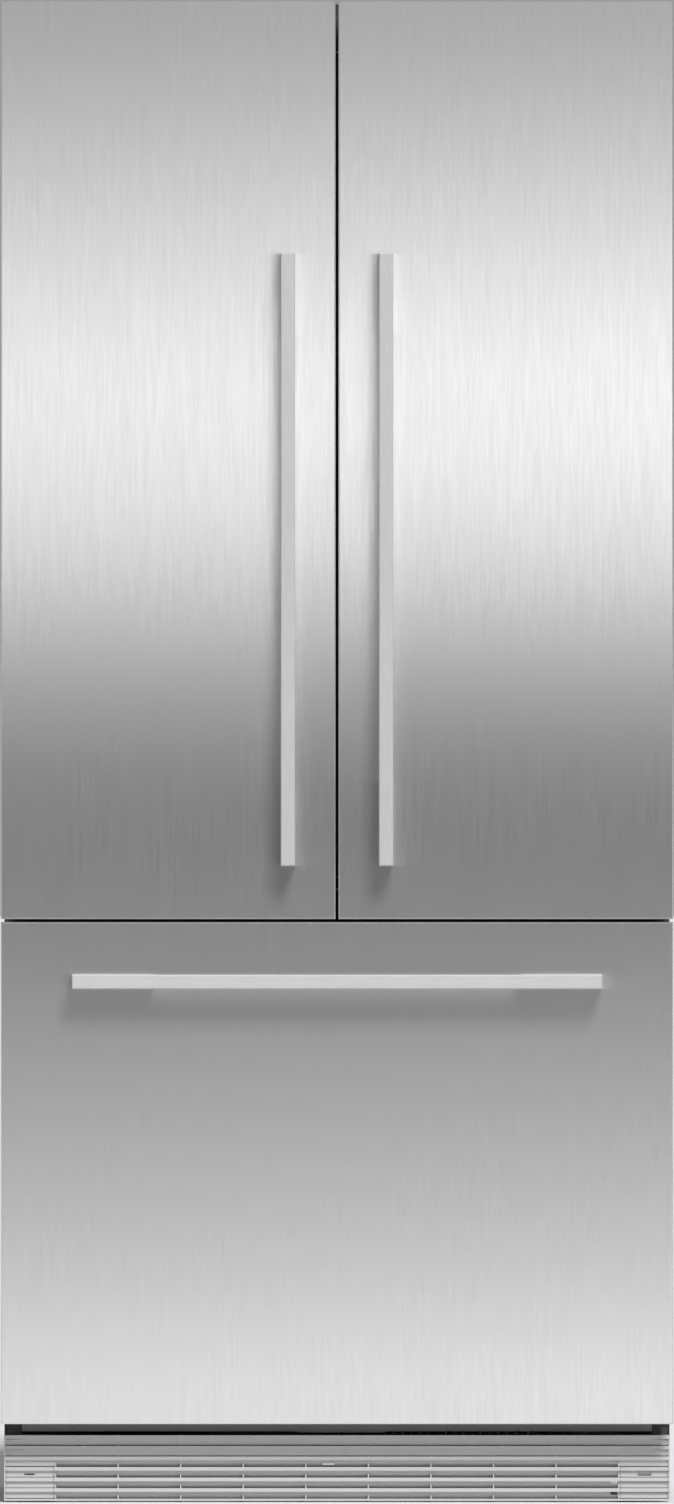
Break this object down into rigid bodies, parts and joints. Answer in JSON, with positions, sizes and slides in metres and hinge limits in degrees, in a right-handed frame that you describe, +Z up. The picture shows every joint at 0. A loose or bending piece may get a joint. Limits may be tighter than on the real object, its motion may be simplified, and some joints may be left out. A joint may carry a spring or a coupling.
{
  "type": "french door refrigerator",
  "caption": "Tall stainless refrigerator with two side-hinged upper doors, a pull-out freezer drawer below, bar handles and a louvred kick grille.",
  "frame": {"origin": "on the floor, at the centre of the whole object's box", "axes": "+X to the right seen from the front, +Y to the back, +Z up; the doors face -Y"},
  "size_m": [0.906, 0.674, 2.024],
  "materials": {
    "panel_steel": "satin",
    "handle_steel": "satin",
    "grille_steel": "satin",
    "plated_steel": "satin",
    "grey_sheet": "satin",
    "dark_sheet": "matte",
    "compressor_black": "satin",
    "white_liner": "satin",
    "white_trim": "satin",
    "insulation": "matte",
    "shelf_glass": "gloss",
    "clear_bin": "gloss",
    "gasket_grey": "matte",
    "coil_metal": "satin",
    "black_plastic": "matte",
    "panel_black": "gloss",
    "light_cover": "satin",
    "valve_plastic": "matte"
  },
  "bodies": {
    "cabinet": {"outer_case": "grey_sheet", "rear_panel": "grey_sheet", "base_frame": "dark_sheet", "fridge_liner": "white_liner", "freezer_liner": "white_liner", "cabinet_foam": "insulation", "middle_rail": "grey_sheet", "glass_shelves": "shelf_glass", "shelf_frames": "plated_steel", "crisper_rails": "white_trim", "air_tower": "white_trim", "light_lenses": "light_cover", "control_panel": "panel_black", "fridge_evaporator": "coil_metal", "freezer_evaporator": "coil_metal", "freezer_air_cover": "white_trim", "compressor": "compressor_black", "condenser": "coil_metal", "drain_pan": "black_plastic", "machine_cover": "grey_sheet", "water_valve": "valve_plastic", "top_hinges": "plated_steel", "lower_hinges": "plated_steel", "drawer_rails_outer": "plated_steel", "kick_grille": "grille_steel", "grille_end_caps": "grille_steel", "ice_maker": "white_trim", "top_bracket": "plated_steel"},
    "left_door": {"left_door_panel": "panel_steel", "left_door_case": "grey_sheet", "left_door_foam": "insulation", "left_door_liner": "white_liner", "left_door_gasket": "gasket_grey", "left_handle": "handle_steel", "left_door_bins": "clear_bin"},
    "mullion": {"mullion_flap": "grey_sheet"},
    "right_door": {"right_door_panel": "panel_steel", "right_door_case": "grey_sheet", "right_door_foam": "insulation", "right_door_liner": "white_liner", "right_door_gasket": "gasket_grey", "right_handle": "handle_steel", "right_door_bins": "clear_bin"},
    "freezer_drawer": {"drawer_panel": "panel_steel", "drawer_case": "grey_sheet", "drawer_foam": "insulation", "drawer_liner": "white_liner", "drawer_gasket": "gasket_grey", "drawer_handle": "handle_steel", "drawer_rails_inner": "plated_steel", "freezer_bin": "clear_bin"},
    "mid_rails": {"drawer_rails_mid": "plated_steel"},
    "tray": {"freezer_tray": "clear_bin"},
    "left_crisper_drawer": {"left_crisper": "clear_bin"},
    "right_crisper_drawer": {"right_crisper": "clear_bin"},
    "condenser_fan_rotor": {"condenser_fan": "black_plastic"},
    "freezer_fan_rotor": {"freezer_fan": "black_plastic"},
    "left_foot_screw": {"left_foot": "black_plastic"},
    "right_foot_screw": {"right_foot": "black_plastic"},
    "rollers": {"rear_rollers": "black_plastic"}
  },
  "joints": [
    {"name": "left_door_hinge", "type": "hinge", "parent": "cabinet", "child": "left_door", "pos_m": [-0.435, -0.247, 1.4], "axis": [0, 0, -1], "range_deg": [0, 115]},
    {"name": "right_door_hinge", "type": "hinge", "parent": "cabinet", "child": "right_door", "pos_m": [0.435, -0.247, 1.4], "axis": [0, 0, 1], "range_deg": [0, 115]},
    {"name": "mullion_fold", "type": "hinge", "parent": "left_door", "child": "mullion", "pos_m": [-0.036, -0.206, 1.392], "axis": [0, 0, 1], "range_deg": [0, 90]},
    {"name": "drawer_slide", "type": "slide", "parent": "cabinet", "child": "freezer_drawer", "axis": [0, -1, 0], "range_m": [0, 0.45]},
    {"name": "mid_rail_slide", "type": "slide", "parent": "cabinet", "child": "mid_rails", "axis": [0, -1, 0], "range_m": [0, 0.225]},
    {"name": "tray_slide", "type": "slide", "parent": "freezer_drawer", "child": "tray", "axis": [0, 1, 0], "range_m": [0, 0.15]},
    {"name": "left_crisper_slide", "type": "slide", "parent": "cabinet", "child": "left_crisper_drawer", "axis": [0, -1, 0], "range_m": [0, 0.12]},
    {"name": "right_crisper_slide", "type": "slide", "parent": "cabinet", "child": "right_crisper_drawer", "axis": [0, -1, 0], "range_m": [0, 0.12]},
    {"name": "condenser_fan_spin", "type": "hinge", "parent": "cabinet", "child": "condenser_fan_rotor", "pos_m": [-0.02, 0.24, 0.14], "axis": [1, 0, 0], "continuous": true},
    {"name": "freezer_fan_spin", "type": "hinge", "parent": "cabinet", "child": "freezer_fan_rotor", "pos_m": [0, 0.245, 0.655], "axis": [0, 1, 0], "continuous": true},
    {"name": "left_foot_height", "type": "slide", "parent": "cabinet", "child": "left_foot_screw", "axis": [0, 0, 1], "range_m": [-0.012, 0.004]},
    {"name": "right_foot_height", "type": "slide", "parent": "cabinet", "child": "right_foot_screw", "axis": [0, 0, 1], "range_m": [-0.012, 0.004]},
    {"name": "rear_roller_spin", "type": "hinge", "parent": "cabinet", "child": "rollers", "pos_m": [0, 0.29, 0.022], "axis": [1, 0, 0], "continuous": true}
  ],
  "couplings": [
    {"joint": "mid_rail_slide", "follows": "drawer_slide", "ratio": 0.5}
  ]
}
